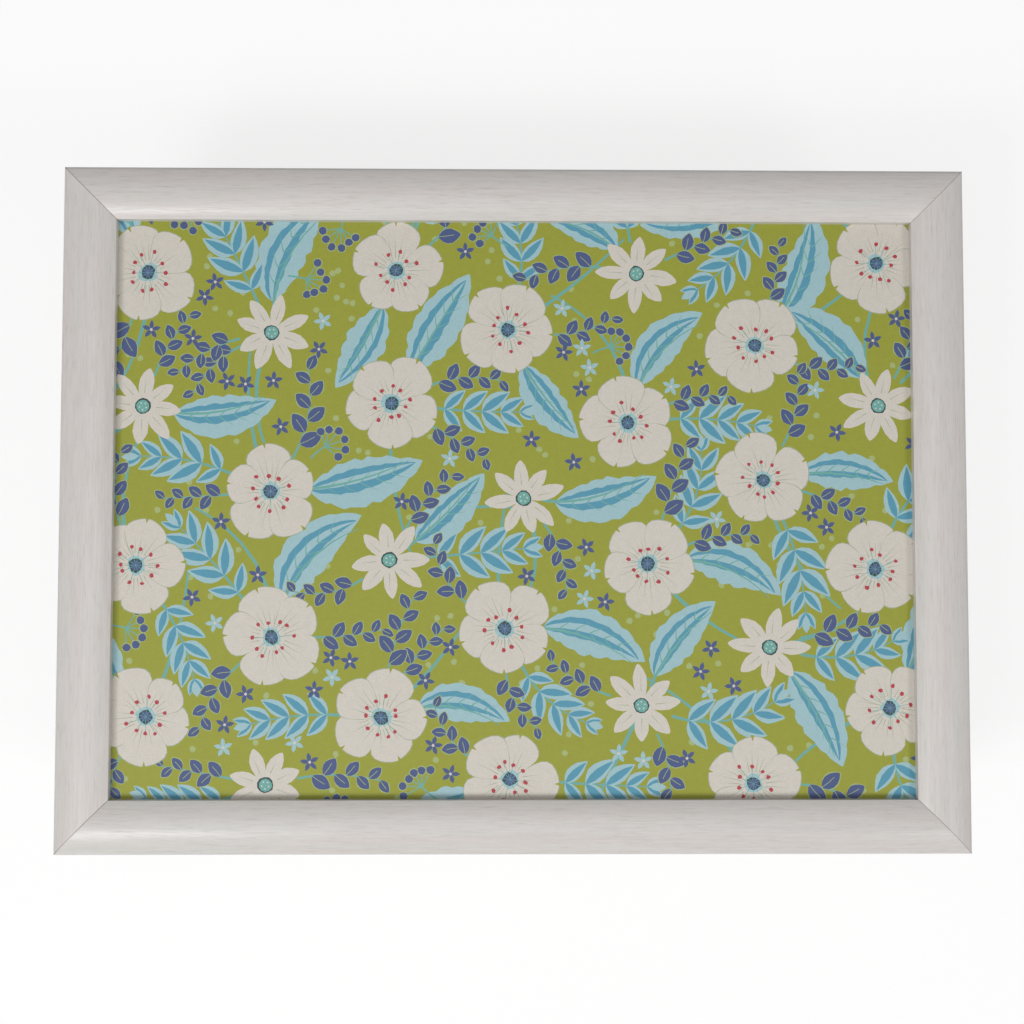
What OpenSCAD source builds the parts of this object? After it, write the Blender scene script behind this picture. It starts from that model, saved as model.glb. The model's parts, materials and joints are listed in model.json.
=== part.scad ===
// Lap desk with a lift lid: a framed, printed writing board hinged to a shallow
// wooden box with bays for papers and pens, on a bead-filled lap cushion.
// Millimetres. X runs to the right, Y to the hinge side, Z up, and the origin is
// on the ground under the middle of the lid.

/* [Lid frame] */
// Width of the lid over its frame
lid_w = 430; // [410:1:470]
// Depth of the lid over its frame
lid_d = 325; // [310:1:360]
// Width of a frame rail, seen from above
rail_w = 25.5; // [24:0.5:30]
// Height of a frame rail at its crown
rail_h = 18; // [17:0.5:22]
// Distance of the crown's top from the rail's outer edge
crown_at = 13; // [12:0.5:14]
// Radius of the rail's crown
crown_r = 22.4; // [21:0.2:28]
// Radius that rounds the crown into the rail's outer side
shoulder_r = 4; // [3:0.5:5]
// Width of the rebate that holds the board
rebate_w = 5; // [4:0.5:6]

/* [Writing board] */
// Thickness of the printed laminate
print_t = 0.8; // [0.5:0.1:1.2]
// Thickness of the board under the laminate
board_t = 5.5; // [4:0.5:6.5]
// Thickness of the lining inside the lid
lining_t = 2.2; // [1.5:0.1:3]
// How far the lining lies above the rails' undersides
lining_recess = 1.5; // [1.2:0.1:2]
// Gap between the board's edge and its rebate
panel_clear = 0.3; // [0.1:0.1:0.6]

/* [Box] */
// How far the lid stands past the box all round
overhang = 8; // [7.5:0.5:12]
// Height of the box walls
wall_h = 42; // [40:1:60]
// Thickness of the box walls
wall_t = 10; // [9:0.5:12]
// Gap between the box's rim and the closed lid
lid_gap = 1.2; // [1:0.1:2]
// Thickness of the bottom board
bottom_t = 4; // [3:0.5:6]
// Height of the bottom board above the walls' lower edges
bottom_up = 5; // [4:0.5:8]
// Depth of the grooves that hold the bottom board
groove_depth = 4; // [3:0.5:5]
// Gap between the bottom board's edge and its groove
groove_clear = 0.2; // [0.1:0.1:0.5]

/* [Bays] */
// Depth of the pen tray along the front
pen_tray_d = 52; // [40:1:60]
// Width of the keepsake bay on the right
keepsake_w = 80; // [60:1:100]
// Thickness of the dividers
divider_t = 6; // [4:0.5:8]
// Height of the dividers above the bottom board
divider_h = 26; // [15:1:28]
// Depth of the slots that hold the dividers
slot_depth = 3; // [2:0.5:4]
// Gap round a divider in its slot
slot_clear = 0.1; // [0.05:0.05:0.2]
// Thickness of the felt in the bays
felt_t = 2; // [1:0.5:3]
// Gap between the felt and the walls
felt_clear = 0.5; // [0.2:0.1:1]

/* [Hinges] */
// Distance of each hinge from its end of the box
hinge_in = 58; // [52:1:90]
// Length of a hinge along its pin
hinge_len = 38; // [30:1:50]
// Thickness of a hinge leaf
leaf_t = 1; // [0.8:0.1:1.4]
// How far a leaf reaches over the wall
leaf_reach = 8; // [7.5:0.5:9]
// Radius of the hinge barrel
barrel_r = 2.5; // [2.2:0.1:3]
// Distance of the hinge pin behind the back wall
axis_behind = 3; // [2.8:0.1:3.5]
// Radius of the hinge pin
pin_r = 1; // [0.8:0.1:1.2]
// Gap between the pin and the knuckles, on the radius
pin_clear = 0.04; // [0.02:0.01:0.08]
// Gap between moving parts of a hinge
hinge_clear = 0.3; // [0.2:0.1:0.5]
// Gap between a leaf's edges and its mortise
mortise_clear = 0.15; // [0.1:0.05:0.3]

/* [Lid stay] */
// Largest angle to which the lid opens
lid_open = 100; // [90:1:105]
// Distance of the wall pivot in front of the hinge pin
stay_wall_fwd = 60; // [50:1:70]
// Distance of the wall pivot below the hinge pin
stay_wall_drop = 17; // [15:0.5:18]
// Distance of the lid pivot in front of the hinge pin
stay_lid_fwd = 130; // [115:1:140]
// Distance of the lid pivot below the hinge pin
stay_lid_drop = 7; // [6:0.5:8]
// Width of the stay's arms between their eyes
arm_w = 7; // [5:0.5:8]
// Radius of the round eyes at the arms' ends
eye_r = 4.5; // [4.2:0.1:5]
// Thickness of the stay's arms and of its lid bracket
arm_t = 1.5; // [1.2:0.1:2]
// Gap between plates that slide past each other
arm_gap = 0.5; // [0.3:0.1:0.8]
// Thickness of the stay's wall bracket
wall_plate_t = 2; // [1.5:0.1:3]
// Radius of the stay's rivets
rivet_r = 2; // [1.5:0.1:2.2]
// Gap round a rivet that an arm turns on, on the radius
rivet_clear = 0.06; // [0.02:0.01:0.1]
// Gap round the elbow rivet in the upper arm, on the radius
elbow_clear = 0.3; // [0.2:0.05:0.5]
// Radius of the stud that stops the lower arm
stop_r = 1.5; // [1.2:0.1:2]

/* [Catches] */
// Distance of each catch from its end of the box
catch_in = 57; // [20:1:120]
// Radius of a catch magnet
magnet_r = 3; // [2:0.5:3.5]
// Height of a catch magnet
magnet_h = 3; // [2:0.5:5]
// Radius of the steel disc that a magnet pulls
disc_r = 3.5; // [2.5:0.5:4]
// Thickness of the steel disc
disc_t = 1; // [0.6:0.1:1.5]
// Radius of a bumper on the rim
bumper_r = 4; // [3:0.5:4]

/* [Fasteners] */
// Length of a hinge screw
hinge_screw_len = 12; // [9:1:13]
// Radius of a hinge screw's head
hinge_head_r = 2.2; // [2:0.1:2.4]
// Radius of a hinge screw's shank
hinge_shank_r = 1.2; // [0.9:0.1:1.4]
// Length of the stay's lid screws
lid_screw_len = 7.5; // [6:0.5:8]
// Length of the stay's wall screws
wall_screw_len = 9; // [7:0.5:9.5]
// Radius of a stay screw's head
stay_head_r = 2.5; // [2.2:0.1:2.8]
// Radius of a stay screw's shank
stay_shank_r = 1.3; // [1:0.1:1.5]
// Radius of a corner dowel
dowel_r = 2.5; // [2:0.25:3]
// Length of a dowel in the side wall's end
dowel_in_end = 12; // [8:1:16]
// Wood left outside a dowel's tip
dowel_skin = 3.5; // [3:0.5:5]
// Length of a corner nail's legs
nail_leg = 8; // [6:0.5:9]
// Thickness of a corner nail
nail_t = 0.6; // [0.4:0.1:1]
// Height of a corner nail
nail_h = 9; // [6:0.5:10]
// Distance of a corner nail from the rails' outer edges
nail_in = 10; // [8:0.5:11]
// Length of a glazing point
point_len = 14; // [12:0.5:16]
// Width of a glazing point
point_w = 6; // [4:0.5:8]
// Thickness of a glazing point
point_t = 0.5; // [0.3:0.1:0.6]

/* [Cushion] */
// Height of the cushion
cushion_h = 49; // [40:1:65]
// How far the cushion swells past the walls' inner faces
cushion_bulge = 3; // [1:0.5:6]
// How far the cushion's top draws in from its widest line
cushion_tuck = 8; // [7:0.5:12]
// How far the cushion's sides pull in between the corners
cushion_pull = 5; // [2:0.5:8]
// Height of the cushion's seam
seam_z = 26; // [20:0.5:30]
// Depth of the flat that the cushion rests on
rest_cut = 0.5; // [0.3:0.1:0.5]
// Thickness of one half of the hook-and-loop strips
strip_t = 1.5; // [1:0.1:2]
// Width of a hook-and-loop strip
strip_w = 25; // [16:1:40]
// Length of a hook-and-loop strip
strip_len = 240; // [150:5:250]
// Distance of the outer strips from the walls
strip_in = 54.5; // [30:0.5:80]

/* [Hidden] */
$fn = 64;

wash = "#c8c4c0";
birch = "#d9c6a3";
felt = "#8d9a94";
steel = "#b9bcc0";
brass = "#c2a25a";

// Overshoot of a cut past the face that it opens
past = 1;

// Levels, from the ground up
loop_z = cushion_h;
hook_z = loop_z + strip_t;
bottom_z = hook_z + strip_t;
floor_z = bottom_z + bottom_t;
wall_z = bottom_z - bottom_up;
rim_z = wall_z + wall_h;
lid_z = rim_z + lid_gap;
rebate_h = lining_recess + lining_t + board_t + print_t;
lining_z = lid_z + lining_recess;
board_z = lining_z + lining_t;
print_z = board_z + board_t;

// Plan of the lid and the box
panel_w = lid_w - 2 * (rail_w - rebate_w + panel_clear);
panel_d = lid_d - 2 * (rail_w - rebate_w + panel_clear);
box_w = lid_w - 2 * overhang;
box_d = lid_d - 2 * overhang;
inner_w = box_w - 2 * wall_t;
inner_d = box_d - 2 * wall_t;
long_y = -inner_d / 2 + pen_tray_d;
short_x = inner_w / 2 - keepsake_w - divider_t;
rim_mid = wall_t / 2;

// Hinge axis, and the screws along a leaf
hinge_at = box_w / 2 - hinge_in - hinge_len / 2;
hinge_y = box_d / 2 + axis_behind;
hinge_z = rim_z + lid_gap / 2;
knuckles = 5;
knuckle_len = hinge_len / knuckles;
pin_head_r = 1.7;
pin_head_t = 0.8;
screw_pitch = hinge_len / 3;
screw_y = box_d / 2 - leaf_reach / 2;
notch_r = barrel_r + hinge_clear + 0.1;
notch_len = hinge_len + 2 * (pin_head_t + hinge_clear);

// Stay pivots as [y, z], and the planes of its plates along X
wall_pivot = [hinge_y - stay_wall_fwd, hinge_z - stay_wall_drop];
lid_pivot = [hinge_y - stay_lid_fwd, hinge_z - stay_lid_drop];
elbow = wall_pivot + lid_pivot - [hinge_y, hinge_z];
wall_plate_x = inner_w / 2 - wall_plate_t;
lower_x = wall_plate_x - arm_gap - arm_t;
upper_x = lower_x - arm_gap - arm_t;
tab_x = upper_x - arm_gap - arm_t;
rivet_head_r = rivet_r + 1.6;
rivet_head_t = 1;
rivet_play = 0.2;
stop_up = 9.5;
stop_clear = 0.05;
plate_l = 32;
plate_down = 7;
plate_up = 14;
plate_corner = 3;
plate_screw = 11.5;
flange_w = 18;
flange_l = 30;
flange_screw = 9;

// Turns [y, z] with the lid as it opens by angle a
function turned(v, a) = [v[0] * cos(a) + v[1] * sin(a), v[1] * cos(a) - v[0] * sin(a)];
open_arm = turned([-stay_lid_fwd, -stay_lid_drop], lid_open);
open_dir = open_arm / norm(open_arm);
stop_at = wall_pivot + stop_up * open_dir
    + (arm_w / 2 + stop_r + stop_clear) * [open_dir[1], -open_dir[0]];

// Cross-section of a frame rail: X from the outer edge inwards, Y up
module rail_section() {
    crown = [crown_at, rail_h - crown_r];
    shoulder_z = crown[1]
        + sqrt(pow(crown_r - shoulder_r, 2) - pow(crown_at - shoulder_r, 2));
    shoulder = [shoulder_r, shoulder_z];
    meet = crown + (shoulder - crown) * crown_r / (crown_r - shoulder_r);
    difference() {
        union() {
            intersection() {
                translate(crown) circle(crown_r);
                translate([meet[0], 0]) square([rail_w - meet[0], rail_h + past]);
            }
            square([meet[0], shoulder_z]);
            translate(shoulder) circle(shoulder_r);
        }
        translate([rail_w - rebate_w, -past]) square([rebate_w + past, rebate_h + past]);
    }
}

// A mitred rail along the front of a frame that is long by deep
module mitred_rail(long, deep) {
    mitre = rail_w + past;
    translate([0, 0, lid_z]) intersection() {
        translate([-long / 2, -deep / 2, 0]) rotate([90, 0, 90])
            linear_extrude(long) rail_section();
        translate([0, 0, -past]) linear_extrude(rail_h + 2 * past) polygon([
            [-long / 2 - past, -deep / 2 - past],
            [long / 2 + past, -deep / 2 - past],
            [long / 2 - mitre, -deep / 2 + mitre],
            [-long / 2 + mitre, -deep / 2 + mitre]
        ]);
    }
}

// An angled nail across each mitre
module corner_nails() {
    for (side = [-1, 1], end = [-1, 1])
        translate([side * (lid_w / 2 - nail_in), end * (lid_d / 2 - nail_in), lid_z])
            scale_to_corner(side, end) {
                translate([-nail_leg, -nail_t / 2, 0]) cube([nail_leg + nail_t / 2, nail_t, nail_h]);
                translate([-nail_t / 2, -nail_leg, 0]) cube([nail_t, nail_leg, nail_h]);
            }
}

// Turns a shape that points to the back right corner to another corner
module scale_to_corner(side, end) {
    mirror([side < 0 ? 1 : 0, 0, 0]) mirror([0, end < 0 ? 1 : 0, 0]) children();
}

// A flat pointed tack, its blunt end at the origin and its tip along +X
module glazing_point() {
    linear_extrude(point_t) polygon([
        [0, -point_w / 2], [point_len * 0.6, -point_w / 2], [point_len, 0],
        [point_len * 0.6, point_w / 2], [0, point_w / 2]
    ]);
}

// The tacks that hold the lining and the board up in the rebate
module points() {
    hold = point_len / 2;
    across = lid_w / 2 - (rail_w - rebate_w) - hold;
    along = lid_d / 2 - (rail_w - rebate_w) - hold;
    z = lining_z - point_t;
    for (side = [-1, 1]) {
        for (y = [-0.3, 0.3] * panel_d)
            translate([side * across, y, z]) rotate([0, 0, side > 0 ? 0 : 180]) glazing_point();
        for (x = [-0.42, 0, 0.42] * panel_w)
            translate([x, side * along, z]) rotate([0, 0, side * 90]) glazing_point();
    }
}

// A countersunk screw pointing down, its head's face at the origin
module screw_body(length, head_r, shank_r, head_h) {
    tip = 2.5 * shank_r;
    translate([0, 0, -head_h]) cylinder(h = head_h, r1 = shank_r, r2 = head_r);
    translate([0, 0, tip - length]) cylinder(h = length - tip - head_h + 0.01, r = shank_r);
    translate([0, 0, -length]) cylinder(h = tip, r1 = 0.2, r2 = shank_r);
}

module screw(length, head_r, shank_r, head_h) {
    slot = 0.22 * head_r;
    arm = 1.1 * head_r;
    difference() {
        screw_body(length, head_r, shank_r, head_h);
        for (turn = [0, 90]) rotate([0, 0, turn])
            translate([-arm / 2, -slot / 2, -0.55 * head_h]) cube([arm, slot, head_h]);
    }
}

module at_hinge_screws() {
    for (side = [-1, 1], step = [-1, 0, 1])
        translate([side * hinge_at + step * screw_pitch, screw_y, 0]) children();
}

module hinge_lid_screw_place() {
    translate([0, 0, lid_z]) at_hinge_screws() rotate([180, 0, 0]) children();
}

module hinge_box_screw_place() {
    translate([0, 0, rim_z]) at_hinge_screws() children();
}

module at_hinges() {
    for (side = [-1, 1]) translate([side * hinge_at, 0, 0]) children();
}

// One leaf with its knuckles, drawn about the pin: first is its first knuckle,
// and up is 1 for the lid's leaf and -1 for the box's
module leaf(first, up) {
    plate_z = up > 0 ? lid_gap / 2 : -lid_gap / 2 - leaf_t;
    reach = axis_behind + leaf_reach;
    short_reach = reach - barrel_r - hinge_clear;
    difference() {
        union() {
            translate([-hinge_len / 2, -reach, plate_z]) cube([hinge_len, short_reach, leaf_t]);
            for (k = [first:2:knuckles - 1])
                translate([-hinge_len / 2 + k * knuckle_len + hinge_clear / 2, 0, 0]) {
                    translate([0, -reach, plate_z])
                        cube([knuckle_len - hinge_clear, reach, leaf_t]);
                    rotate([0, 90, 0]) cylinder(h = knuckle_len - hinge_clear, r = barrel_r);
                }
        }
        translate([-hinge_len / 2 - past, 0, 0]) rotate([0, 90, 0])
            cylinder(h = hinge_len + 2 * past, r = pin_r + pin_clear);
        for (step = [-1, 0, 1])
            translate([step * screw_pitch, screw_y - hinge_y, up * lid_gap / 2])
                rotate([up > 0 ? 180 : 0, 0, 0])
                    screw_body(hinge_screw_len, hinge_head_r, hinge_shank_r, leaf_t);
    }
}

module hinge_pin() {
    rotate([0, 90, 0]) {
        cylinder(h = hinge_len, r = pin_r, center = true);
        for (end = [-1, 1]) translate([0, 0, end * (hinge_len + pin_head_t) / 2])
            cylinder(h = pin_head_t, r = pin_head_r, center = true);
    }
}

module at_hinge(side) {
    translate([side * hinge_at, hinge_y, hinge_z]) children();
}

// What the back rail gives up to the hinges: leaf beds and room for the barrels
module lid_hinge_cuts() {
    bed_w = hinge_len + 2 * mortise_clear;
    bed_y = box_d / 2 - leaf_reach - mortise_clear;
    at_hinges() {
        translate([-bed_w / 2, bed_y, lid_z - past])
            cube([bed_w, hinge_y - bed_y, past + leaf_t]);
        translate([-notch_len / 2, hinge_y, hinge_z]) rotate([0, 90, 0])
            cylinder(h = notch_len, r = notch_r);
    }
    hinge_lid_screw_place() screw_body(hinge_screw_len, hinge_head_r, hinge_shank_r, leaf_t);
}

module box_hinge_cuts() {
    bed_w = hinge_len + 2 * mortise_clear;
    bed_y = box_d / 2 - leaf_reach - mortise_clear;
    at_hinges() translate([-bed_w / 2, bed_y, rim_z - leaf_t])
        cube([bed_w, box_d / 2 - bed_y + past, leaf_t + past]);
    hinge_box_screw_place() screw_body(hinge_screw_len, hinge_head_r, hinge_shank_r, leaf_t);
}

// Front rail and front wall both take the catches at this distance from the edge
module at_catches(z) {
    for (side = [-1, 1])
        translate([side * (box_w / 2 - catch_in), -box_d / 2 + rim_mid, z]) children();
}

module lid_rail_front() {
    color(wash) difference() {
        mitred_rail(lid_w, lid_d);
        corner_nails();
        points();
        at_catches(lid_z - past) cylinder(h = disc_t + past, r = disc_r);
    }
}

module lid_rail_back() {
    color(wash) difference() {
        rotate([0, 0, 180]) mitred_rail(lid_w, lid_d);
        corner_nails();
        points();
        lid_hinge_cuts();
    }
}

module lid_rail_left() {
    color(wash) difference() {
        rotate([0, 0, -90]) mitred_rail(lid_d, lid_w);
        corner_nails();
        points();
    }
}

module lid_rail_right() {
    color(wash) difference() {
        rotate([0, 0, 90]) mitred_rail(lid_d, lid_w);
        corner_nails();
        points();
    }
}

module lid_corner_nails() {
    color(steel) corner_nails();
}

module glazing_points() {
    color(steel) points();
}

module panel(z, thick) {
    translate([-panel_w / 2, -panel_d / 2, z]) cube([panel_w, panel_d, thick]);
}

module print_laminate() {
    color("#96a03c") panel(print_z, print_t);
}

module writing_board() {
    color(birch) difference() {
        panel(board_z, board_t);
        stay_lid_screw_holes();
    }
}

module lid_lining() {
    color(birch) difference() {
        panel(lining_z, lining_t);
        stay_lid_screw_holes();
    }
}

module hinge_left_lid_leaf() {
    color(brass) at_hinge(-1) leaf(1, 1);
}

module hinge_right_lid_leaf() {
    color(brass) at_hinge(1) leaf(1, 1);
}

module hinge_lid_screws() {
    color(brass) hinge_lid_screw_place()
        screw(hinge_screw_len, hinge_head_r, hinge_shank_r, leaf_t);
}

module catch_discs() {
    color(steel) at_catches(lid_z) cylinder(h = disc_t, r = disc_r);
}

// Draws a [y, z] outline as a plate that starts at x and is thick along X
module side_plate(x, thick) {
    translate([x, 0, 0]) rotate([90, 0, 90]) linear_extrude(thick) children();
}

module side_rod(x, at, length, r) {
    translate([x, at[0], at[1]]) rotate([0, 90, 0]) cylinder(h = length, r = r);
}

// A strap with a round, drilled eye at each of two pivots
module stay_arm(x, p, q, hole_p, hole_q) {
    along = (q - p) / norm(q - p);
    half = arm_w / 2 * [-along[1], along[0]];
    difference() {
        union() {
            side_rod(x, p, arm_t, eye_r);
            side_rod(x, q, arm_t, eye_r);
            side_plate(x, arm_t) polygon([p + half, q + half, q - half, p - half]);
        }
        side_rod(x - past, p, arm_t + 2 * past, hole_p);
        side_rod(x - past, q, arm_t + 2 * past, hole_q);
    }
}

module stay_lower_arm() {
    color(steel) stay_arm(lower_x, wall_pivot, elbow, rivet_r + rivet_clear, rivet_r);
}

module stay_upper_arm() {
    color(steel)
        stay_arm(upper_x, lid_pivot, elbow, rivet_r + rivet_clear, rivet_r + elbow_clear);
}

// A rivet along X with a head at both ends: its shank runs from x to x + length
module rivet(x, at, length) {
    side_rod(x, at, length, rivet_r);
    side_rod(x - rivet_head_t, at, rivet_head_t, rivet_head_r);
    side_rod(x + length, at, rivet_head_t, rivet_head_r);
}

module stay_elbow_rivet() {
    start = upper_x - rivet_play;
    color(steel) rivet(start, elbow, lower_x + arm_t - start);
}

module stay_lid_rivet() {
    color(steel) rivet(tab_x, lid_pivot, upper_x + arm_t + rivet_play - tab_x);
}

// The wall rivet's tail is spread flush in the wall bracket
module stay_wall_rivet() {
    start = lower_x - rivet_play;
    color(steel) {
        side_rod(start, wall_pivot, inner_w / 2 - start, rivet_r);
        side_rod(start - rivet_head_t, wall_pivot, rivet_head_t, rivet_head_r);
    }
}

module at_lid_bracket_screws() {
    for (step = [-1, 1])
        translate([tab_x - flange_w / 2, lid_pivot[0] + step * flange_screw, lining_z - arm_t])
            rotate([180, 0, 0]) children();
}

module stay_lid_screw_holes() {
    at_lid_bracket_screws() screw_body(lid_screw_len, stay_head_r, stay_shank_r, arm_t);
}

// An angle under the lining: a flange with two screws and a tab with the pivot
module stay_lid_bracket() {
    tab_top = lining_z;
    color(steel) difference() {
        union() {
            side_plate(tab_x, arm_t) union() {
                translate(lid_pivot) circle(eye_r);
                translate([lid_pivot[0] - eye_r, lid_pivot[1]])
                    square([2 * eye_r, tab_top - lid_pivot[1]]);
            }
            translate([tab_x - flange_w + arm_t, lid_pivot[0] - flange_l / 2, tab_top - arm_t])
                cube([flange_w, flange_l, arm_t]);
        }
        side_rod(tab_x - past, lid_pivot, arm_t + 2 * past, rivet_r);
        stay_lid_screw_holes();
    }
}

module stay_lid_screws() {
    color(steel) at_lid_bracket_screws()
        screw(lid_screw_len, stay_head_r, stay_shank_r, arm_t);
}

module at_wall_bracket_screws() {
    for (step = [-1, 1])
        translate([wall_plate_x, wall_pivot[0] + step * plate_screw, wall_pivot[1]])
            rotate([0, -90, 0]) children();
}

module stay_wall_screw_holes() {
    at_wall_bracket_screws()
        screw_body(wall_screw_len, stay_head_r, stay_shank_r, wall_plate_t);
}

// A plate on the wall with the lower arm's pivot and the stud that stops the arm
module stay_wall_bracket() {
    low = wall_pivot - [plate_l / 2, plate_down];
    high = wall_pivot + [plate_l / 2, plate_up];
    color(steel) difference() {
        union() {
            side_plate(wall_plate_x, wall_plate_t) {
                translate(low + [plate_corner, 0])
                    square([plate_l - 2 * plate_corner, high[1] - low[1]]);
                translate(low + [0, plate_corner])
                    square([plate_l, high[1] - low[1] - 2 * plate_corner]);
                for (y = [low[0] + plate_corner, high[0] - plate_corner],
                     z = [low[1] + plate_corner, high[1] - plate_corner])
                    translate([y, z]) circle(plate_corner);
            }
            side_rod(lower_x, stop_at, wall_plate_x - lower_x + 0.01, stop_r);
        }
        side_rod(wall_plate_x - past, wall_pivot, wall_plate_t + 2 * past, rivet_r);
        stay_wall_screw_holes();
    }
}

module stay_wall_screws() {
    color(steel) at_wall_bracket_screws()
        screw(wall_screw_len, stay_head_r, stay_shank_r, wall_plate_t);
}

// The groove for the bottom board, all round the inside of the walls
module bottom_groove() {
    translate([-inner_w / 2 - groove_depth, -inner_d / 2 - groove_depth, bottom_z])
        cube([inner_w + 2 * groove_depth, inner_d + 2 * groove_depth, bottom_t]);
}

module bottom_board() {
    w = inner_w + 2 * (groove_depth - groove_clear);
    d = inner_d + 2 * (groove_depth - groove_clear);
    color(birch) translate([-w / 2, -d / 2, bottom_z]) cube([w, d, bottom_t]);
}

// Dowels across the four corners, two to a corner
module dowels() {
    in_wall = wall_t - dowel_skin;
    for (side = [-1, 1], end = [-1, 1], z = [0.48, 0.8] * wall_h)
        translate([side * (box_w / 2 - rim_mid), end * (inner_d / 2 - dowel_in_end), wall_z + z])
            rotate([-90 * end, 0, 0]) cylinder(h = dowel_in_end + in_wall, r = dowel_r);
}

// A divider's slot or the divider itself: grow is the slot's extra on each side
module long_divider_bar(grow) {
    reach = inner_w / 2 + slot_depth - (grow > 0 ? 0 : slot_clear);
    translate([-reach, long_y - grow, floor_z])
        cube([2 * reach, divider_t + 2 * grow, divider_h + grow]);
}

module short_divider_bar(grow) {
    front = long_y + divider_t - slot_depth + (grow > 0 ? 0 : slot_clear);
    back = inner_d / 2 + slot_depth - (grow > 0 ? 0 : slot_clear);
    translate([short_x - grow, front, floor_z])
        cube([divider_t + 2 * grow, back - front, divider_h + grow]);
}

module end_wall(end) {
    y = end < 0 ? -box_d / 2 : box_d / 2 - wall_t;
    difference() {
        translate([-box_w / 2, y, wall_z]) cube([box_w, wall_t, wall_h]);
        bottom_groove();
        dowels();
    }
}

module side_wall(side) {
    x = side < 0 ? -box_w / 2 : box_w / 2 - wall_t;
    difference() {
        translate([x, -inner_d / 2, wall_z]) cube([wall_t, inner_d, wall_h]);
        bottom_groove();
        dowels();
        long_divider_bar(slot_clear);
    }
}

module front_wall() {
    color(wash) difference() {
        end_wall(-1);
        at_catches(rim_z - magnet_h) cylinder(h = magnet_h + past, r = magnet_r);
    }
}

module back_wall() {
    color(wash) difference() {
        end_wall(1);
        short_divider_bar(slot_clear);
        box_hinge_cuts();
    }
}

module left_wall() {
    color(wash) side_wall(-1);
}

module right_wall() {
    color(wash) difference() {
        side_wall(1);
        stay_wall_screw_holes();
    }
}

module wall_dowels() {
    color(birch) dowels();
}

module long_divider() {
    color(birch) difference() {
        long_divider_bar(0);
        short_divider_bar(slot_clear);
    }
}

module short_divider() {
    color(birch) short_divider_bar(0);
}

// Felt on the floor of a bay that runs between two corners
module bay_felt(x0, y0, x1, y1) {
    color(felt) translate([x0 + felt_clear, y0 + felt_clear, floor_z])
        cube([x1 - x0 - 2 * felt_clear, y1 - y0 - 2 * felt_clear, felt_t]);
}

module paper_bay_felt() {
    bay_felt(-inner_w / 2, long_y + divider_t, short_x, inner_d / 2);
}

module keepsake_bay_felt() {
    bay_felt(short_x + divider_t, long_y + divider_t, inner_w / 2, inner_d / 2);
}

module pen_tray_felt() {
    bay_felt(-inner_w / 2, -inner_d / 2, inner_w / 2, long_y);
}

module hinge_left_box_leaf() {
    color(brass) at_hinge(-1) leaf(0, -1);
}

module hinge_right_box_leaf() {
    color(brass) at_hinge(1) leaf(0, -1);
}

module hinge_left_pin() {
    color(brass) at_hinge(-1) hinge_pin();
}

module hinge_right_pin() {
    color(brass) at_hinge(1) hinge_pin();
}

module hinge_box_screws() {
    color(brass) hinge_box_screw_place()
        screw(hinge_screw_len, hinge_head_r, hinge_shank_r, leaf_t);
}

module catch_magnets() {
    color(steel) at_catches(rim_z - magnet_h) cylinder(h = magnet_h, r = magnet_r);
}

// Soft dots near the rim's corners that the closed lid lies on
module rim_bumpers() {
    color("#e8e4da") for (side = [-1, 1], end = [-1, 1])
        translate([side * (box_w / 2 - 3 * wall_t), end * (box_d / 2 - rim_mid), rim_z])
            cylinder(h = lid_gap, r = bumper_r);
}

module strips(z) {
    strip_at = inner_w / 2 - strip_in - strip_w / 2;
    for (step = [-1, 0, 1])
        translate([step * strip_at - strip_w / 2, -strip_len / 2, z])
            cube([strip_w, strip_len, strip_t]);
}

module hook_strips() {
    color("#2e2e30") strips(hook_z);
}

module loop_strips() {
    color("#3a3a3c") strips(loop_z);
}

// The cushion is a stack of rings, each a rectangle with round corners whose
// sides pull in between them
along_side = 18;
along_end = 14;
corner_power = 9;
belly_power = 5;
base_power = 2.2;
belly_steps = 11;
top_steps = 5;
cushion_half = [inner_w, inner_d] / 2 + [cushion_bulge, cushion_bulge];

// The k-th of n steps from -1 to 1, closer together towards the ends
function spread(k, n) = sin(180 * k / n - 90);

// Points along the edge of the square from -1 to 1, counterclockwise
function square_edge() = concat(
    [for (k = [0:along_side - 1]) [spread(k, along_side), -1]],
    [for (k = [0:along_end - 1]) [1, spread(k, along_end)]],
    [for (k = [0:along_side - 1]) [-spread(k, along_side), 1]],
    [for (k = [0:along_end - 1]) [-1, -spread(k, along_end)]]
);

function rounded(p) = p / pow(pow(abs(p[0]), corner_power) + pow(abs(p[1]), corner_power),
    1 / corner_power);

function ring(half, pull, z) = [for (edge = square_edge())
    let (p = rounded(edge))
    [p[0] * (half[0] - pull * (1 - p[1] * p[1])), p[1] * (half[1] - pull * (1 - p[0] * p[0])), z]];

// A ring of the belly, from the seam at 0 to the lowest point at 90
function belly_ring(turn) =
    let (size = pow(cos(turn), 2 / belly_power))
    ring(cushion_half * size, cushion_pull * size,
        seam_z - (seam_z + rest_cut) * pow(sin(turn), 2 / base_power));

function top_ring(turn) =
    let (tuck = cushion_tuck * (1 - cos(turn)))
    ring(cushion_half - [tuck, tuck], cushion_pull, seam_z + (cushion_h - seam_z) * sin(turn));

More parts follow.
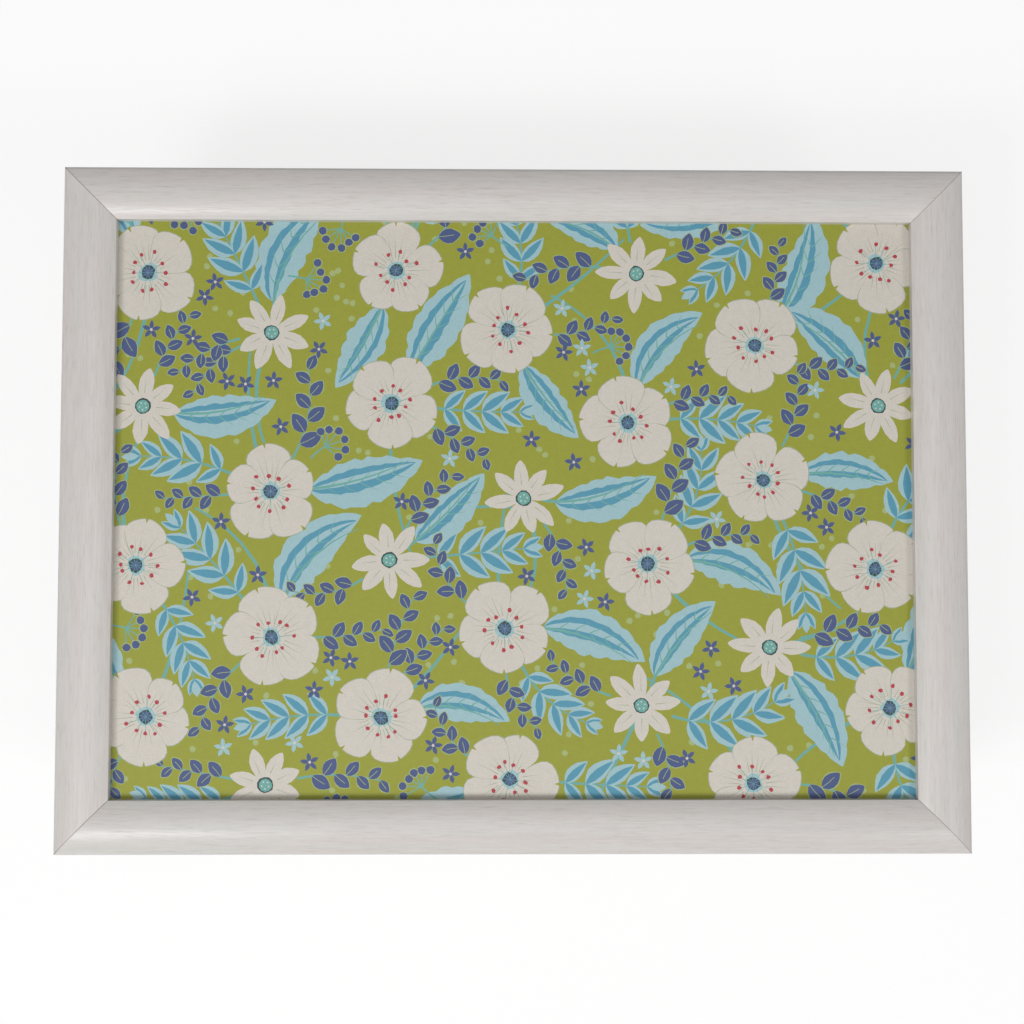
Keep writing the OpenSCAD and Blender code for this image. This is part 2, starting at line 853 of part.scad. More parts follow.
// The crowned cushion before its base is cut flat
module cushion_form() {
    rings = concat(
        [for (k = [belly_steps - 1:-1:1]) belly_ring(90 * k / belly_steps)],
        [for (k = [0:top_steps]) top_ring(90 * k / top_steps)]
    );
    n = len(rings[0]);
    top = len(rings) - 1;
    points = concat([for (r = rings) each r], [[0, 0, -rest_cut], [0, 0, cushion_h]]);
    base_mid = n * len(rings);
    faces = concat(
        [for (k = [0:n - 1]) [base_mid, k, (k + 1) % n]],
        [for (r = [0:top - 1], k = [0:n - 1]) [r * n + k, (r + 1) * n + k, r * n + (k + 1) % n]],
        [for (r = [0:top - 1], k = [0:n - 1])
            [r * n + (k + 1) % n, (r + 1) * n + k, (r + 1) * n + (k + 1) % n]],
        [for (k = [0:n - 1]) [base_mid + 1, top * n + (k + 1) % n, top * n + k]]
    );
    polyhedron(points, faces);
}

module cushion() {
    color("#d8cfbf") difference() {
        cushion_form();
        translate([-box_w / 2, -box_d / 2, -box_w]) cube([box_w, box_d, box_w]);
    }
}

lid_rail_front();
lid_rail_back();
lid_rail_left();
lid_rail_right();
lid_corner_nails();
print_laminate();
writing_board();
lid_lining();
glazing_points();
hinge_left_lid_leaf();
hinge_right_lid_leaf();
hinge_lid_screws();
catch_discs();
stay_lid_bracket();
stay_lid_screws();
stay_lid_rivet();
stay_upper_arm();
stay_elbow_rivet();
stay_lower_arm();
stay_wall_rivet();
stay_wall_screws();
stay_wall_bracket();
front_wall();
back_wall();
left_wall();
right_wall();
wall_dowels();
bottom_board();
long_divider();
short_divider();
paper_bay_felt();
keepsake_bay_felt();
pen_tray_felt();
hinge_left_box_leaf();
hinge_right_box_leaf();
hinge_left_pin();
hinge_right_pin();
hinge_box_screws();
catch_magnets();
rim_bumpers();
hook_strips();
loop_strips();
cushion();
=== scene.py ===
"""Looks of a lap desk with a lift lid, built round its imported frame.

Metres. X runs to the right, Y to the hinge side, Z up.
"""

import json
import math
import random

import bpy
import numpy as np
from mathutils import Matrix, Vector, noise
from mathutils.geometry import delaunay_2d_cdt

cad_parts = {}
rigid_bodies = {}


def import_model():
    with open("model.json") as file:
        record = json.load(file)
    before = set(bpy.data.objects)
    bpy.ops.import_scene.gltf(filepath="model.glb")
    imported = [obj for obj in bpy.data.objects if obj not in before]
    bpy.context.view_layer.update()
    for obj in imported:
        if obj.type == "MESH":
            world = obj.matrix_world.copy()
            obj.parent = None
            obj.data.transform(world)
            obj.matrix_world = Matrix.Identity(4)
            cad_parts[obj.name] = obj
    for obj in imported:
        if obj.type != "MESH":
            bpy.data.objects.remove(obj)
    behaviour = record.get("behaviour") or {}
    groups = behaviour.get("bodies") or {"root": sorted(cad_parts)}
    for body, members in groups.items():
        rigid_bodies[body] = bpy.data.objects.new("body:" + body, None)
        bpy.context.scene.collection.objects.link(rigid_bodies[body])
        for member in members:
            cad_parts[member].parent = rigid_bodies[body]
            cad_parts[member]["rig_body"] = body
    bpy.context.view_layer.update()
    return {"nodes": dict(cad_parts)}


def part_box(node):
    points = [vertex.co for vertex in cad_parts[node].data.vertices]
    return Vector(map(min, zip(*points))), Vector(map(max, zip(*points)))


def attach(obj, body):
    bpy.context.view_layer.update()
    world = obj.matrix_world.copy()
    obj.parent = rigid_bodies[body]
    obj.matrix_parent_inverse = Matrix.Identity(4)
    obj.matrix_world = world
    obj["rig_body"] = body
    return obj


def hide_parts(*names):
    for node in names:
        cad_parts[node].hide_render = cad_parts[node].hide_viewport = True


bl_info = {
    "name": "Lap desk with lift lid",
    "version": (1, 0, 0),
    "blender": (4, 5, 0),
    "location": "3D View > Sidebar > Lap desk",
    "description": "Dresses a lap desk: moulding, printed panel, box, fittings, cushion",
    "category": "Object",
}

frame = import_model()
MM = 0.001
BLACK, WHITE = (0, 0, 0), (1, 1, 1)
# A mix of colours takes its share at input 0 and its colours at 6 and 7; output 2 gives it
COLOURS = {"data_type": "RGBA"}


def srgb(code):
    """An sRGB hex colour as the linear colour that the shaders take."""
    parts = [int(code[i : i + 2], 16) / 255 for i in (1, 3, 5)]
    return tuple(p / 12.92 if p <= 0.04045 else ((p + 0.055) / 1.055) ** 2.4 for p in parts)


def length(name, description, default):
    return bpy.props.FloatProperty(
        name=name, description=description, default=default, min=0,
        subtype="DISTANCE", unit="LENGTH",
    )


def colour(name, description, code):
    return bpy.props.FloatVectorProperty(
        name=name, description=description, default=srgb(code), size=3, min=0, max=1,
        subtype="COLOR",
    )


class LapDeskSizes(bpy.types.PropertyGroup):
    wood_arris: length("Wood arris", "How far the edges of the wooden pieces are eased", 0.4 * MM)
    metal_arris: length("Metal arris", "How far the edges of the fittings are eased", 0.12 * MM)
    tack_arris: length("Tack arris", "How far the edges of tacks and nails are eased", 0.05 * MM)
    screw_arris: length("Screw arris", "How far the edges of the screws are eased", 0.06 * MM)
    rivet_arris: length("Rivet arris", "How round the heads of the rivets are", 0.3 * MM)
    catch_arris: length("Catch arris", "How far magnets and discs are tumbled", 0.2 * MM)
    bumper_edge: length("Bumper edge", "How round the edge of a soft dot is", 0.45 * MM)
    tape_edge: length("Tape edge", "How round the edge of a strip is", 0.3 * MM)
    felt_edge: length("Felt edge", "How round the cut edge of the felt is", 0.7 * MM)
    rose_r: length("Rose radius", "Radius of the large printed blossoms", 23 * MM)
    daisy_r: length("Daisy radius", "Radius of the small printed blossoms", 19 * MM)
    fern_l: length("Fern length", "Length of a printed fern", 54 * MM)
    cushion_cell: length("Cushion cell", "Mesh size for the cushion's cloth", 5 * MM)
    cushion_swell: length("Cushion swell", "How far the cushion's cloth may swell", 5 * MM)
    welt_r: length("Welt radius", "Radius of the piped welt round the cushion", 1.9 * MM)
    pucker: length("Pucker pitch", "Distance between the puckers along the welt", 17 * MM)


class LapDeskColours(bpy.types.PropertyGroup):
    foil: colour("Foil", "White-washed wood foil on the moulding and the box", "#CAC5C1")
    foil_pore: colour("Foil pores", "Grey pores printed in the foil", "#AAA39D")
    ground: colour("Print ground", "Olive ground of the print", "#90942C")
    cream: colour("Print cream", "Petals of the print", "#CDC7BD")
    vein: colour("Print line", "Fine lines in the petals", "#9CA58C")
    pale: colour("Print pale blue", "Light side of the printed leaves", "#9ABCC2")
    blue: colour("Print blue", "Dark side of the printed leaves", "#4F90A8")
    teal: colour("Print teal", "Printed stems", "#68A39B")
    navy: colour("Print navy", "Printed berries and small leaves", "#3F4E7A")
    halo: colour("Print halo", "Pale line round the navy shapes", "#9FAD72")
    red: colour("Print red", "Stamens of the print", "#A83440")
    dark: colour("Print dark", "Line round the blossoms' centres", "#1F3A38")
    ply: colour("Birch", "Birch plywood and dividers", "#D9C6A3")
    board: colour("Board", "Wood-fibre board under the print", "#8F7355")
    felt: colour("Felt", "Wool felt in the bays", "#7F8C86")
    brass: colour("Brass", "Hinges and their screws", "#E2D2A4")
    steel: colour("Steel", "Lid stay and its fasteners", "#B4B7BB")
    nickel: colour("Nickel", "Catch magnets and discs", "#BDB8AE")
    bumper: colour("Bumper", "Soft dots on the rim", "#DAD6CA")
    tape: colour("Tape", "Hook-and-loop strips", "#2C2C2F")
    cotton: colour("Cotton", "Cushion cover", "#DDD4C4")
    welt: colour("Welt", "Piping round the cushion", "#8E9C8F")


# Tools of the trade


def only(piece):
    """Makes a piece the one that is selected and active."""
    bpy.ops.object.select_all(action="DESELECT")
    piece.select_set(True)
    bpy.context.view_layer.objects.active = piece


def modify(piece, kind, **settings):
    """Adds a modifier with these settings and applies it."""
    only(piece)
    made = piece.modifiers.new(kind.title(), kind)
    for key, value in settings.items():
        setattr(made, key, value)
    bpy.ops.object.modifier_apply(modifier=made.name)


def new_piece(name, mesh):
    piece = bpy.data.objects.new(name, mesh)
    bpy.context.scene.collection.objects.link(piece)
    return piece


def dress(piece, finish):
    piece.data.materials.clear()
    piece.data.materials.append(finish)


def stand_for(piece, node):
    """The piece takes a frame node's place: it rides on the node's body, and the node is hidden.
    """
    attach(piece, frame["nodes"][node]["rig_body"])
    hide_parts(node)


def merged_copy(node, name):
    """A closed copy of a frame node's loose triangles, with flat faces made whole."""
    piece = new_piece(name, frame["nodes"][node].data.copy())
    only(piece)
    bpy.ops.mesh.customdata_custom_splitnormals_clear()
    bpy.ops.object.mode_set(mode="EDIT")
    bpy.ops.mesh.select_all(action="SELECT")
    bpy.ops.mesh.remove_doubles(threshold=0.002 * MM)
    bpy.ops.mesh.dissolve_limited(angle_limit=math.radians(0.5))
    bpy.ops.object.mode_set(mode="OBJECT")
    return piece


def eased(node, ease, finish, rounds=2):
    """A frame node with its arrises eased, as sanding or tumbling leaves them."""
    piece = merged_copy(node, node + "_eased")
    modify(
        piece, "BEVEL", width=ease, segments=rounds, limit_method="ANGLE",
        angle_limit=math.radians(32), use_clamp_overlap=True, harden_normals=False,
    )
    bpy.ops.object.shade_smooth_by_angle(angle=math.radians(40))
    modify(piece, "WEIGHTED_NORMAL", keep_sharp=True, weight=50)
    dress(piece, finish)
    stand_for(piece, node)
    return piece


# Finishes


def feed(tree, node, inputs):
    """Sets a node's inputs: each takes a value, or the socket that feeds it."""
    for key, value in inputs.items():
        if isinstance(value, bpy.types.NodeSocket):
            tree.links.new(value, node.inputs[key])
        else:
            node.inputs[key].default_value = value


def add(tree, kind, settings=None, inputs=None, output=0):
    """Adds a node with its settings and links, and gives one of its outputs."""
    made = tree.nodes.new("ShaderNode" + kind)
    for key, value in (settings or {}).items():
        setattr(made, key, value)
    feed(tree, made, inputs or {})
    return made.outputs[output]


def new_finish(name):
    made = bpy.data.materials.new(name)
    made.use_nodes = True
    return made, made.node_tree, made.node_tree.nodes["Principled BSDF"]


def pattern(tree, size, low, high, top=1.0, detail=3.0):
    """A cloudy pattern from 0 to top, with spots of about this size along x, y and z."""
    place = add(tree, "TexCoord", output="Object")
    spread = add(tree, "Mapping", None, {"Vector": place, "Scale": [1 / s for s in size]})
    cloud = add(tree, "TexNoise", None, {"Vector": spread, "Scale": 1.0, "Detail": detail})
    limits = {"Value": cloud, "From Min": low, "From Max": high, "To Max": top}
    return add(tree, "MapRange", None, limits)


def run(axis, along, across):
    """The size of a grain that runs along an axis."""
    return [along if name == axis else across for name in "xyz"]


def rgba(tint):
    return (*tint, 1.0)


def between(tint, other, share):
    return tuple(a + (b - a) * share for a, b in zip(tint, other))


def washed_foil(axis, corner=None):
    # White-washed oak foil over a wood-fibre moulding, printed and lightly embossed:
    # an even satin, with soft streaks along the rail and short grey pores in them.
    # Where the corner of a frame is given, its mitres show as hairlines of the core's colour,
    # darkened further toward black: painted shade in the open joint
    tints = bpy.context.scene.lap_desk_colours
    made, tree, shader = new_finish(f"washed_oak_foil_{'rail' if corner else 'wall'}_{axis}")
    tone = pattern(tree, run(axis, 120 * MM, 7 * MM), 0.35, 0.65)
    streaks = pattern(tree, run(axis, 30 * MM, 0.8 * MM), 0.34, 0.68, 0.8)
    pores = pattern(tree, run(axis, 9 * MM, 0.3 * MM), 0.5, 0.76, 0.7)
    warm = between(tints.foil, srgb("#CEC4C0"), 0.5)
    cool = between(tints.foil, srgb("#C8C8C4"), 0.7)
    base = add(tree, "Mix", COLOURS, {0: tone, 6: rgba(warm), 7: rgba(cool)}, 2)
    light = between(tints.foil, WHITE, 0.13)
    washed = add(tree, "Mix", COLOURS, {0: streaks, 6: base, 7: rgba(light)}, 2)
    pore = rgba(tints.foil_pore)
    grained = add(tree, "Mix", COLOURS, {0: pores, 6: washed, 7: pore}, 2)
    if corner:
        place = add(tree, "SeparateXYZ", None, {0: add(tree, "TexCoord", output="Object")}).node
        absolute, minus = {"operation": "ABSOLUTE"}, {"operation": "SUBTRACT"}
        across = [add(tree, "Math", absolute, {0: place.outputs[k]}) for k in (0, 1)]
        skew = add(tree, "Math", minus, {0: across[0], 1: across[1]})
        off = add(tree, "Math", minus, {0: skew, 1: corner.x - corner.y})
        apart = add(tree, "Math", absolute, {0: off})
        limits = {"From Min": 0.12 * MM, "From Max": 0.4 * MM, "To Min": 0.45, "To Max": 0.0}
        mitre_shade_line = add(tree, "MapRange", None, {"Value": apart, **limits})
        # Painted shade: the board's colour darkened toward black stands for the shade in the open
        # mitre
        core_with_painted_shade = rgba(between(tints.board, BLACK, 0.4))
        grained = add(tree, "Mix", COLOURS, {0: mitre_shade_line, 6: grained, 7: core_with_painted_shade}, 2)
    rough = add(tree, "MapRange", None, {"Value": pores, "To Min": 0.27, "To Max": 0.5})
    relief = add(
        tree, "Bump", {"invert": True}, {"Strength": 0.35, "Distance": 0.05 * MM, "Height": pores}
    )
    feed(tree, shader, {"Base Color": grained, "Roughness": rough, "Normal": relief, "IOR": 1.5})
    return made


def print_finish():
    # Melamine print on a thin laminate: quite matt, with a fine canvas emboss. The real
    # emboss is 0.3 mm, and it is drawn at 0.8 mm so that it shows
    made, tree, shader = new_finish("printed_melamine_laminate")
    ink = add(tree, "VertexColor", {"layer_name": "ink"})
    canvas = pattern(tree, run("z", 1.0, 0.8 * MM), 0.3, 0.7, 1.0, 2.0)
    drift = pattern(tree, run("z", 1.0, 3.2 * MM), 0.3, 0.7)
    grains = add(tree, "Math", {"operation": "MULTIPLY_ADD"}, {0: canvas, 1: 0.1, 2: 0.92})
    soft = add(tree, "Math", {"operation": "MULTIPLY_ADD"}, {0: drift, 1: 0.05, 2: -0.03})
    level = add(tree, "Math", {"operation": "ADD"}, {0: grains, 1: soft})
    inked = add(
        tree, "Mix", {**COLOURS, "blend_type": "MULTIPLY"}, {0: 1.0, 6: ink, 7: level}, 2
    )
    rough = add(tree, "MapRange", None, {"Value": canvas, "To Min": 0.55, "To Max": 0.66})
    relief = add(tree, "Bump", None, {"Strength": 0.25, "Distance": 0.04 * MM, "Height": canvas})
    feed(tree, shader, {"Base Color": inked, "Roughness": rough, "Normal": relief, "IOR": 1.5})
    return made


def birch(axis):
    # Rotary-cut birch, sanded and left clear: silky, pale, with broad soft figure and
    # fine short flecks along the grain
    tints = bpy.context.scene.lap_desk_colours
    made, tree, shader = new_finish("sanded_birch_along_" + axis)
    figure = pattern(tree, run(axis, 110 * MM, 6 * MM), 0.3, 0.7, 1.0, 6.0)
    flecks = pattern(tree, run(axis, 7 * MM, 0.35 * MM), 0.55, 0.76, 0.5)
    deep = between(tints.ply, srgb("#B48F5E"), 0.3)
    pale = between(tints.ply, srgb("#E8DABC"), 0.4)
    broad = add(tree, "Mix", COLOURS, {0: figure, 6: rgba(deep), 7: rgba(pale)}, 2)
    fleck = rgba(between(tints.ply, srgb("#8A6238"), 0.6))
    grained = add(tree, "Mix", COLOURS, {0: flecks, 6: broad, 7: fleck}, 2)
    relief = add(
        tree, "Bump", {"invert": True}, {"Strength": 0.3, "Distance": 0.05 * MM, "Height": flecks}
    )
    feed(tree, shader, {"Base Color": grained, "Roughness": 0.55, "Normal": relief, "IOR": 1.5})
    return made


def fibre_board():
    # Medium-density fibreboard with sawn edges: brown felted fibres, quite matt
    tints = bpy.context.scene.lap_desk_colours
    made, tree, shader = new_finish("sawn_fibreboard")
    fibres = pattern(tree, (1.6 * MM, 1.6 * MM, 0.3 * MM), 0.35, 0.65, 0.6)
    pale = rgba(between(tints.board, WHITE, 0.18))
    mixed = add(tree, "Mix", COLOURS, {0: fibres, 6: rgba(tints.board), 7: pale}, 2)
    feed(tree, shader, {"Base Color": mixed, "Roughness": 0.85})
    return made


def wool_felt():
    # Pressed wool felt, 2 mm: matted fibres with a soft nap that catches light at its edge
    tints = bpy.context.scene.lap_desk_colours
    made, tree, shader = new_finish("pressed_wool_felt")
    mat = pattern(tree, (0.9 * MM,) * 3, 0.35, 0.65, 1.0, 5.0)
    cloud = pattern(tree, (9 * MM,) * 3, 0.35, 0.65)
    tufts = add(tree, "Math", {"operation": "MULTIPLY_ADD"}, {0: cloud, 1: 0.35, 2: mat})
    share = add(tree, "MapRange", None, {"Value": tufts, "From Max": 1.35})
    dark, light = between(tints.felt, BLACK, 0.22), between(tints.felt, WHITE, 0.12)
    mixed = add(tree, "Mix", COLOURS, {0: share, 6: rgba(dark), 7: rgba(light)}, 2)
    relief = add(tree, "Bump", None, {"Strength": 0.6, "Distance": 0.3 * MM, "Height": mat})
    settings = {"Base Color": mixed, "Roughness": 0.95, "Normal": relief, "Sheen Weight": 0.35}
    feed(tree, shader, {**settings, "Sheen Roughness": 0.5})
    return made


def metal(name, tint, rough, axis, wear):
    """Metal with the fine lines of its making along an axis, and duller patches from handling."""
    made, tree, shader = new_finish(name)
    lines = pattern(tree, run(axis, 9 * MM, 0.12 * MM), 0.3, 0.7, 1.0, 2.0)
    dull = pattern(tree, (5 * MM,) * 3, 0.4, 0.7, wear)
    level = add(tree, "Math", {"operation": "MULTIPLY_ADD"}, {0: lines, 1: 0.12, 2: rough})
    rough_here = add(tree, "Math", {"operation": "ADD"}, {0: level, 1: dull})
    dim = rgba(between(tint, BLACK, 0.22))
    mixed = add(tree, "Mix", COLOURS, {0: dull, 6: rgba(tint), 7: dim}, 2)
    relief = add(tree, "Bump", None, {"Strength": 0.2, "Distance": 0.01 * MM, "Height": lines})
    settings = {"Base Color": mixed, "Roughness": rough_here, "Normal": relief}
    feed(tree, shader, {**settings, "Metallic": 1.0})
    return made


def soft_dot():
    # Cast polyurethane bumper: milky and slightly clear, with dust in its skin
    tints = bpy.context.scene.lap_desk_colours
    made, tree, shader = new_finish("cast_polyurethane")
    dust = pattern(tree, (0.5 * MM,) * 3, 0.55, 0.75, 0.35)
    grey = rgba(between(tints.bumper, BLACK, 0.35))
    mixed = add(tree, "Mix", COLOURS, {0: dust, 6: rgba(tints.bumper), 7: grey}, 2)
    settings = {"Base Color": mixed, "Roughness": 0.38, "IOR": 1.5}
    feed(tree, shader, {**settings, "Subsurface Weight": 0.2, "Subsurface Scale": 1 * MM})
    return made


def hook_and_loop():
    # Woven nylon strip with a dense pile: near black, dull, with a fuzz that scatters light
    tints = bpy.context.scene.lap_desk_colours
    made, tree, shader = new_finish("nylon_hook_and_loop")
    pile = pattern(tree, (0.8 * MM,) * 3, 0.35, 0.65, 1.0, 2.0)
    fuzz = rgba(between(tints.tape, WHITE, 0.1))
    mixed = add(tree, "Mix", COLOURS, {0: pile, 6: rgba(tints.tape), 7: fuzz}, 2)
    relief = add(tree, "Bump", None, {"Strength": 0.8, "Distance": 0.4 * MM, "Height": pile})
    settings = {"Base Color": mixed, "Roughness": 0.9, "Normal": relief}
    feed(tree, shader, {**settings, "Sheen Weight": 0.2})
    return made


def cotton_canvas(name, tint):
    # Plain-woven cotton canvas, washed: matt, with slubs. Its threads are 0.5 mm apart
    # and are drawn at 1.1 mm so that they show
    made, tree, shader = new_finish(name)
    place = add(tree, "TexCoord", output="Object")
    # A wave texture of scale 1 repeats every tau / 20 units
    spread = {"Vector": place, "Scale": math.tau / 20 / (1.1 * MM), "Distortion": 0.0}
    bands = {"wave_type": "BANDS", "wave_profile": "SIN"}
    threads = [
        add(tree, "TexWave", {**bands, "bands_direction": axis}, spread, 1) for axis in "XYZ"
    ]
    crossed = add(tree, "Math", {"operation": "ADD"}, {0: threads[0], 1: threads[1]})
    weave = add(tree, "Math", {"operation": "ADD"}, {0: crossed, 1: threads[2]})
    slubs = pattern(tree, (9 * MM, 0.8 * MM, 0.8 * MM), 0.5, 0.75, 0.8)
    cloud = pattern(tree, (26 * MM,) * 3, 0.35, 0.65)
    woven = add(tree, "Math", {"operation": "MULTIPLY_ADD"}, {0: weave, 1: 0.2, 2: cloud})
    share = add(tree, "MapRange", None, {"Value": woven, "From Max": 1.6})
    dark, light = between(tint, BLACK, 0.16), between(tint, WHITE, 0.14)
    mixed = add(tree, "Mix", COLOURS, {0: share, 6: rgba(dark), 7: rgba(light)}, 2)
    warm = rgba(between(tint, srgb("#B79F76"), 0.5))
    slubbed = add(tree, "Mix", COLOURS, {0: slubs, 6: mixed, 7: warm}, 2)
    height = add(tree, "Math", {"operation": "ADD"}, {0: weave, 1: slubs})
    relief = add(tree, "Bump", None, {"Strength": 0.45, "Distance": 0.2 * MM, "Height": height})
    settings = {"Base Color": slubbed, "Roughness": 0.92, "Normal": relief}
    feed(tree, shader, {**settings, "Sheen Weight": 0.15, "Sheen Roughness": 0.6})
    return made


# The print: a tossed floral of open roses, daisies, ferns, leaves and berries, drawn flat

# Which greens are tried, how often at each blossom, and how far they may overlap, in mm
GREENS = (("leaf", 60, 4.5), ("fern", 40, 4.0), ("sprig", 60, 3.0), ("sprig", 60, 3.0))
# The room that a green takes: places along its spine and radii, as shares of its length
LEAF_ROOM = ((0.35, 0.17), (0.6, 0.2), (0.85, 0.15), (1.05, 0.08))
SPRIG_ROOM = ((0.35, 0.13), (0.6, 0.13), (0.85, 0.12), (1.05, 0.08))
# Which small shapes are scattered in what is left, how many are tried, and their radius in mm
FILLERS = (("umbel", 500, 8.5), ("star", 900, 4.6), ("dot", 700, 1.8))


def around(x, y, reach, angle):
    return x + reach * math.cos(angle), y + reach * math.sin(angle)


def petal(wide, skew=1.0, blunt=1.0, grow=0.0):
    """A petal's half-width along its spine: skew above 1 makes it widest near the tip."""
    return lambda t: wide * math.sin(math.pi * t ** skew) ** blunt + grow if 0 < t < 1 else 0.0


def thorn(wide):
    """The half-width of a shape that runs out to a point."""
    return lambda t: wide * (1 - t)


class Drawing:
    """Shapes in the order in which they are printed, in millimetres on the panel."""

    def __init__(self, seed):
        self.chance = random.Random(seed)
        self.shapes = []
        self.taken = []

    def lay(self, ink, points):
        self.shapes.append((ink, points))

    def blade(self, ink, root, angle, reach, half, bend=0.0, steps=8, wobble=0.1):
        """A shape along a bent spine: half gives its half-width at 0 to 1 of its length."""
        left, right = [], []
        for i in range(steps + 1):
            t = (1 - math.cos(math.pi * i / steps)) / 2
            heading = angle + bend * t
            x, y = self.spine(root, angle, reach, bend, t)
            w = max(half(t), 0.0) * (1 + wobble * (self.chance.random() - 0.5))
            nx, ny = -math.sin(heading), math.cos(heading)
            left.append((x + w * nx, y + w * ny))
            if w > 0.01:
                right.append((x - w * nx, y - w * ny))
        self.lay(ink, right + left[::-1])

    def dot(self, ink, x, y, r, lumps=0.0, corners=9):
        turn = self.chance.random() * math.tau
        points = []
        for i in range(corners):
            a = turn + math.tau * i / corners
            reach = r * (1 + lumps * (self.chance.random() - 0.5))
            points.append(around(x, y, reach, a))
        self.lay(ink, points)

    def is_free(self, discs, slack):
        return all(
            math.hypot(x - u, y - v) > r + s - slack for x, y, r in discs for u, v, s in self.taken
        )

    def spine(self, root, angle, reach, bend, t):
        """The place at t, 0 to 1, along a bent spine."""
        return around(*root, reach * t, angle + bend * t / 2)

    def rose(self, x, y, r):
        """An open rose: five broad notched petals, stamens in a ring round a navy eye."""
        turn = self.chance.random() * math.tau
        for k in (0, 2, 4, 1, 3):
            a = turn + k * math.tau / 5 + self.chance.uniform(-0.1, 0.1)
            reach = r * self.chance.uniform(0.9, 1.06)
            wide = reach * self.chance.uniform(0.44, 0.5)
            for ink, grow in (("vein", 0.3), ("cream", 0.0)):
                half = petal(wide, 1.7, 0.62, grow)
                self.blade(ink, (x, y), a, reach + grow, half, 0.0, 13, 0.03)
            notch = around(x, y, reach + 0.6, a + 0.07)
            self.blade("ground", notch, a + math.pi, reach * 0.13, thorn(0.9), 0.3, 3)
            for side in (-0.42, -0.16, 0.12, 0.38):
                root = around(x, y, reach * 0.26, a + side)
                far = reach * self.chance.uniform(0.25, 0.55)
                self.blade("vein", root, a + side * 0.5, far, thorn(0.19), side * 0.6, 3)
        self.dot("pale", x, y, r * 0.2, 0.3, 11)
        self.dot("dark", x, y, r * 0.145, 0.3, 9)
        self.dot("navy", x, y, r * 0.11, 0.25, 8)
        for k in range(10):
            a = turn + k * math.tau / 10 + self.chance.uniform(-0.15, 0.15)
            reach = r * self.chance.uniform(0.29, 0.46)
            self.blade("teal", (x, y), a, reach, lambda t: 0.12 if t > 0.4 else 0.05, 0.1, 2)
            self.dot("red", *around(x, y, reach, a), 1.05, 0.5, 6)

    def daisy(self, x, y, r):
        """A daisy: eight narrow petals with a crease, round a teal button."""
        turn = self.chance.random() * math.tau
        for k in range(8):
            a = turn + k * math.tau / 8 + self.chance.uniform(-0.07, 0.07)
            reach = r * self.chance.uniform(0.88, 1.06)
            wide = r * self.chance.uniform(0.17, 0.2)
            bend = self.chance.uniform(-0.2, 0.2)
            self.blade("cream", (x, y), a, reach, petal(wide, 1.25, 0.7), bend, 8)
            root = around(x, y, reach * 0.35, a)
            self.blade("vein", root, a, reach * 0.45, thorn(0.2), 0.0, 2)
        self.dot("dark", x, y, r * 0.2, 0.15, 11)
        self.dot("teal", x, y, r * 0.165, 0.1, 10)
        for k in range(5):
            self.dot("cream", *around(x, y, r * 0.09, turn + k * math.tau / 5), 0.45, 0, 5)

    def fern(self, root, angle, reach, bend):
        """A fern frond: paired two-tone leaflets along a teal rib."""
        self.blade("teal", root, angle, reach, lambda t: 0.75 - 0.5 * t, bend, 8)
        pairs = 5
        for k in range(pairs):
            t = 0.16 + 0.78 * k / (pairs - 1)
            x, y = self.spine(root, angle, reach, bend, t)
            leaf = reach * (0.16 + 0.2 * math.sin(math.pi * t ** 0.8))
            leaf *= self.chance.uniform(0.9, 1.08)
            wide = leaf * 0.23
            for side in (-1, 1):
                a = angle + bend * t + side * (1.05 - 0.45 * t)
                self.blade("pale", (x, y), a, leaf, petal(wide, 0.8, 0.9), -side * 0.3, 8)
                shade = petal(wide / 2, 0.8, 0.9)
                self.blade("blue", (x, y), a - side * 0.1, leaf * 0.93, shade, -side * 0.1, 6)
        tip = self.spine(root, angle, reach, bend, 0.96)
        self.blade("pale", tip, angle + bend, reach * 0.17, petal(2.0), 0, 6)

    def leaf(self, root, angle, reach, bend):
        """A broad scalloped leaf: a pale half, a blue half and a teal rib with side veins."""
        for ink, share, turn in (("pale", 1.0, 0.0), ("blue", 0.46, 0.12), ("pale", 0.16, 0.15)):
            whole = petal(share * reach * 0.21, 0.85, 0.8)
            self.blade(
                ink, root, angle + turn, reach * (1 - turn * 0.5),
                lambda t: whole(t) * (0.9 + 0.14 * abs(math.sin(6 * math.pi * t))),
                bend - 2 * turn, 26,
            )
        for k in range(5):
            t = 0.16 + 0.14 * k
            for side in (-1, 1):
                a = angle + bend * t + side * 0.75
                rib = self.spine(root, angle, reach, bend, t)
                far = reach * (0.2 - 0.15 * abs(t - 0.45))
                self.blade("teal", rib, a, far, thorn(0.3), -side * 0.35, 3)
        back = self.spine(root, angle, reach, bend, -0.12)
        self.blade("teal", back, angle, reach, lambda t: 0.75 - 0.6 * t, bend, 9)

    def sprig(self, root, angle, reach, bend):
        """A sprig of round navy leaves that alternate along a thin stem."""
        self.blade("teal", root, angle, reach, lambda t: 0.6 - 0.3 * t, bend, 7)
        for k in range(7):
            t = 0.18 + 0.8 * k / 6
            x, y = self.spine(root, angle, reach, bend, t)
            a = angle + bend * t + (0.8 if k % 2 else -0.8)
            size = reach * (0.27 - 0.1 * t)
            for ink, grow in (("halo", 0.4), ("navy", 0.0)):
                half = petal(size * 0.33 + grow, 0.9, 0.75)
                self.blade(ink, (x, y), a, size + grow, half, 0.2, 7)
            self.blade("halo", (x, y), a, size * 0.7, lambda t: 0.14, 0.2, 2)

    def umbel(self, root, angle):
        """A head of navy berries on thin rays."""
        for k in range(6):
            a = angle + (k - 2.5) * 0.5
            reach = self.chance.uniform(7.0, 10.0)
            self.blade("teal", root, a, reach, lambda t: 0.28, 0.1, 3)
            x, y = around(*root, reach, a + 0.05)
            self.dot("halo", x, y, 2.35, 0.1, 8)
            self.dot("navy", x, y, 1.95, 0.15, 8)
        self.blade("teal", root, angle + math.pi, 9, lambda t: 0.4, 0.3, 4)

